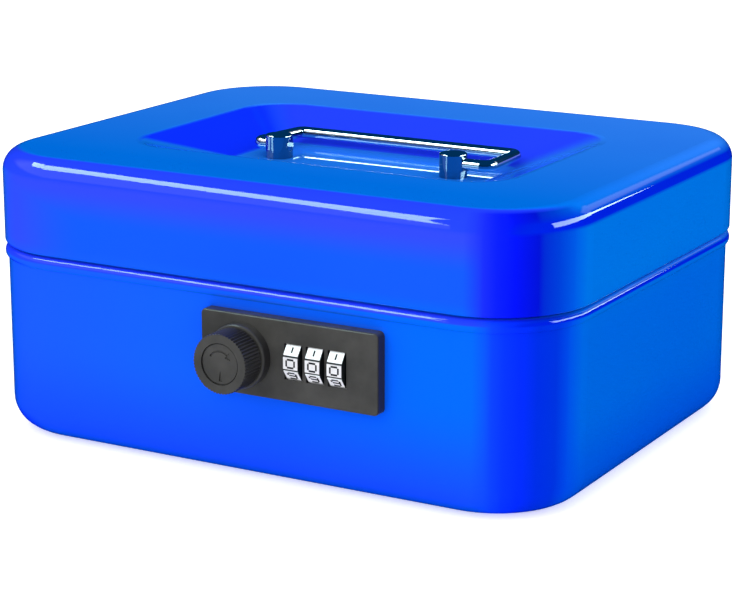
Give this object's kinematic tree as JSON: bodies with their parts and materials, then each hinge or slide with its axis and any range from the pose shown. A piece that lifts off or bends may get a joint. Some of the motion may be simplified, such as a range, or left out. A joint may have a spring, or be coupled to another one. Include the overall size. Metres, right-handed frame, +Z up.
{
  "type": "cash box",
  "caption": "Small steel cash box with a hinged lid, a recessed folding wire handle, a dial combination lock with a turn knob, and a lift-out coin tray.",
  "frame": {"origin": "middle of the box's underside, on the surface it stands on", "axes": "+X to the right seen from the front, +Y to the back (hinge side), +Z up; the lock faces -Y"},
  "size_m": [0.2, 0.1816, 0.09],
  "materials": {
    "blue_paint": "high gloss",
    "chrome_wire": "polished",
    "lock_plastic": "satin black moulding",
    "case_plastic": "plain black moulding",
    "tray_plastic": "fine-grained black",
    "dial_silver": "plated, satin",
    "zinc_steel": "zinc plated",
    "brass": "turned"
  },
  "bodies": {
    "base": {"base_shell": "blue_paint", "hinge_base_leaf_left": "blue_paint", "hinge_base_leaf_right": "blue_paint", "hinge_pin_left": "zinc_steel", "hinge_pin_right": "zinc_steel", "hinge_rivets_base": "blue_paint", "lock_plate": "lock_plastic", "lock_case": "case_plastic", "case_screws": "zinc_steel", "dial_axle": "zinc_steel", "detent_spring": "zinc_steel", "fence_bar": "zinc_steel", "tray_rest_left": "blue_paint", "tray_rest_right": "blue_paint"},
    "lid": {"lid_shell": "blue_paint", "hinge_lid_leaf_left": "blue_paint", "hinge_lid_leaf_right": "blue_paint", "hinge_rivets_lid": "blue_paint", "lid_striker": "zinc_steel", "handle_post_left": "chrome_wire", "handle_post_right": "chrome_wire", "post_washers": "zinc_steel"},
    "handle": {"bail_handle": "chrome_wire"},
    "knob": {"turn_knob": "lock_plastic", "knob_spindle": "zinc_steel", "latch_cam": "zinc_steel", "cam_nut": "zinc_steel"},
    "dial_1": {"number_dial_1": "dial_silver", "clutch_sleeve_1": "brass"},
    "dial_2": {"number_dial_2": "dial_silver", "clutch_sleeve_2": "brass"},
    "dial_3": {"number_dial_3": "dial_silver", "clutch_sleeve_3": "brass"},
    "code_lever": {"code_set_lever": "case_plastic"},
    "tray": {"coin_tray": "tray_plastic"}
  },
  "joints": [
    {"name": "lid_hinge", "type": "hinge", "parent": "base", "child": "lid", "pos_m": [0, 0.0829, 0.06], "axis": [-1, 0, 0], "range_deg": [0, 98]},
    {"name": "handle_swing", "type": "hinge", "parent": "lid", "child": "handle", "pos_m": [0, -0.0045, 0.0862], "axis": [1, 0, 0], "range_deg": [0, 176]},
    {"name": "knob_turn", "type": "hinge", "parent": "base", "child": "knob", "pos_m": [0.0037, -0.09, 0.0403], "axis": [0, 1, 0], "range_deg": [0, 90]},
    {"name": "dial_1_turn", "type": "hinge", "parent": "base", "child": "dial_1", "pos_m": [0.0212, -0.0782, 0.0403], "axis": [1, 0, 0], "continuous": true},
    {"name": "dial_2_turn", "type": "hinge", "parent": "base", "child": "dial_2", "pos_m": [0.0285, -0.0782, 0.0403], "axis": [1, 0, 0], "continuous": true},
    {"name": "dial_3_turn", "type": "hinge", "parent": "base", "child": "dial_3", "pos_m": [0.0358, -0.0782, 0.0403], "axis": [1, 0, 0], "continuous": true},
    {"name": "code_lever_slide", "type": "slide", "parent": "base", "child": "code_lever", "axis": [1, 0, 0], "range_m": [0, 0.0046]},
    {"name": "tray_lift", "type": "slide", "parent": "base", "child": "tray", "axis": [0, 0, 1], "range_m": [0, 0.014]}
  ]
}
